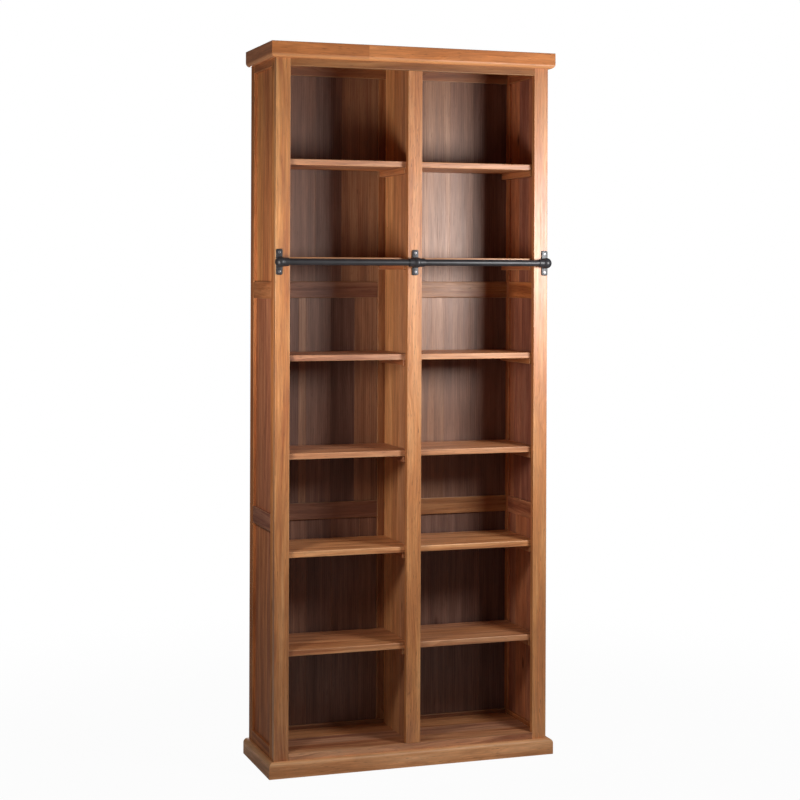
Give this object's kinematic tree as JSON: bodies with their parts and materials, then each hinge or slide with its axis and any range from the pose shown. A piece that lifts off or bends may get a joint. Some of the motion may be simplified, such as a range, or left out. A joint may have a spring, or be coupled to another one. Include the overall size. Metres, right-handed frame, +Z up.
{
  "type": "bookcase",
  "caption": "Tall open bookcase of framed and panelled wood with a middle partition, loose shelves on battens, round-edged cornice and plinth, and an iron ladder rail across the front.",
  "frame": {"origin": "bottom centre of the bounding box, on the floor", "axes": "+Z up, -Y out of the open front, +X to the right seen from the front"},
  "size_m": [0.9206, 0.3294, 2.2],
  "materials": {
    "acacia_frame": "satin lacquer",
    "acacia_panel": "satin lacquer",
    "acacia_moulding": "satin lacquer",
    "acacia_shelf": "satin lacquer",
    "black_iron": "satin black"
  },
  "bodies": {
    "carcase": {"face_stile_left": "acacia_frame", "face_stile_right": "acacia_frame", "face_top_rail": "acacia_frame", "partition_front_post": "acacia_frame", "partition_rear_post": "acacia_frame", "side_front_stile_left": "acacia_frame", "side_rear_stile_left": "acacia_frame", "side_top_rail_left": "acacia_frame", "side_upper_rail_left": "acacia_frame", "side_lower_rail_left": "acacia_frame", "side_bottom_rail_left": "acacia_frame", "side_front_stile_right": "acacia_frame", "side_rear_stile_right": "acacia_frame", "side_top_rail_right": "acacia_frame", "side_upper_rail_right": "acacia_frame", "side_lower_rail_right": "acacia_frame", "side_bottom_rail_right": "acacia_frame", "back_top_rail": "acacia_frame", "back_bottom_rail": "acacia_frame", "back_upper_rail_left": "acacia_frame", "back_lower_rail_left": "acacia_frame", "back_upper_rail_right": "acacia_frame", "back_lower_rail_right": "acacia_frame", "partition_board": "acacia_panel", "side_top_panel_left": "acacia_panel", "side_middle_panel_left": "acacia_panel", "side_bottom_panel_left": "acacia_panel", "side_top_panel_right": "acacia_panel", "side_middle_panel_right": "acacia_panel", "side_bottom_panel_right": "acacia_panel", "back_top_panel_left": "acacia_panel", "back_middle_panel_left": "acacia_panel", "back_bottom_panel_left": "acacia_panel", "back_top_panel_right": "acacia_panel", "back_middle_panel_right": "acacia_panel", "back_bottom_panel_right": "acacia_panel", "cornice_front": "acacia_moulding", "cornice_left": "acacia_moulding", "cornice_right": "acacia_moulding", "plinth_front": "acacia_moulding", "plinth_left": "acacia_moulding", "plinth_right": "acacia_moulding", "top_board": "acacia_moulding", "bottom_board": "acacia_shelf", "ladder_rail_tube": "black_iron", "ladder_rail_bracket_left": "black_iron", "ladder_rail_bracket_middle": "black_iron", "ladder_rail_bracket_right": "black_iron"},
    "shelf_left_1": {"shelf_left_1": "acacia_shelf"},
    "shelf_left_2": {"shelf_left_2": "acacia_shelf"},
    "shelf_left_3": {"shelf_left_3": "acacia_shelf"},
    "shelf_left_4": {"shelf_left_4": "acacia_shelf"},
    "shelf_left_5": {"shelf_left_5": "acacia_shelf"},
    "shelf_left_6": {"shelf_left_6": "acacia_shelf"},
    "shelf_right_1": {"shelf_right_1": "acacia_shelf"},
    "shelf_right_2": {"shelf_right_2": "acacia_shelf"},
    "shelf_right_3": {"shelf_right_3": "acacia_shelf"},
    "shelf_right_4": {"shelf_right_4": "acacia_shelf"},
    "shelf_right_5": {"shelf_right_5": "acacia_shelf"},
    "shelf_right_6": {"shelf_right_6": "acacia_shelf"}
  },
  "joints": [
    {"name": "shelf_left_1_lift", "type": "slide", "parent": "carcase", "child": "shelf_left_1", "axis": [0, 0, 1], "range_m": [0, 0.2583]},
    {"name": "shelf_left_2_lift", "type": "slide", "parent": "carcase", "child": "shelf_left_2", "axis": [0, 0, 1], "range_m": [0, 0.2583]},
    {"name": "shelf_left_3_lift", "type": "slide", "parent": "carcase", "child": "shelf_left_3", "axis": [0, 0, 1], "range_m": [0, 0.2583]},
    {"name": "shelf_left_4_lift", "type": "slide", "parent": "carcase", "child": "shelf_left_4", "axis": [0, 0, 1], "range_m": [0, 0.2583]},
    {"name": "shelf_left_5_lift", "type": "slide", "parent": "carcase", "child": "shelf_left_5", "axis": [0, 0, 1], "range_m": [0, 0.2583]},
    {"name": "shelf_left_6_lift", "type": "slide", "parent": "carcase", "child": "shelf_left_6", "axis": [0, 0, 1], "range_m": [0, 0.3253]},
    {"name": "shelf_right_1_lift", "type": "slide", "parent": "carcase", "child": "shelf_right_1", "axis": [0, 0, 1], "range_m": [0, 0.2583]},
    {"name": "shelf_right_2_lift", "type": "slide", "parent": "carcase", "child": "shelf_right_2", "axis": [0, 0, 1], "range_m": [0, 0.2583]},
    {"name": "shelf_right_3_lift", "type": "slide", "parent": "carcase", "child": "shelf_right_3", "axis": [0, 0, 1], "range_m": [0, 0.2583]},
    {"name": "shelf_right_4_lift", "type": "slide", "parent": "carcase", "child": "shelf_right_4", "axis": [0, 0, 1], "range_m": [0, 0.2583]},
    {"name": "shelf_right_5_lift", "type": "slide", "parent": "carcase", "child": "shelf_right_5", "axis": [0, 0, 1], "range_m": [0, 0.2583]},
    {"name": "shelf_right_6_lift", "type": "slide", "parent": "carcase", "child": "shelf_right_6", "axis": [0, 0, 1], "range_m": [0, 0.3253]}
  ]
}
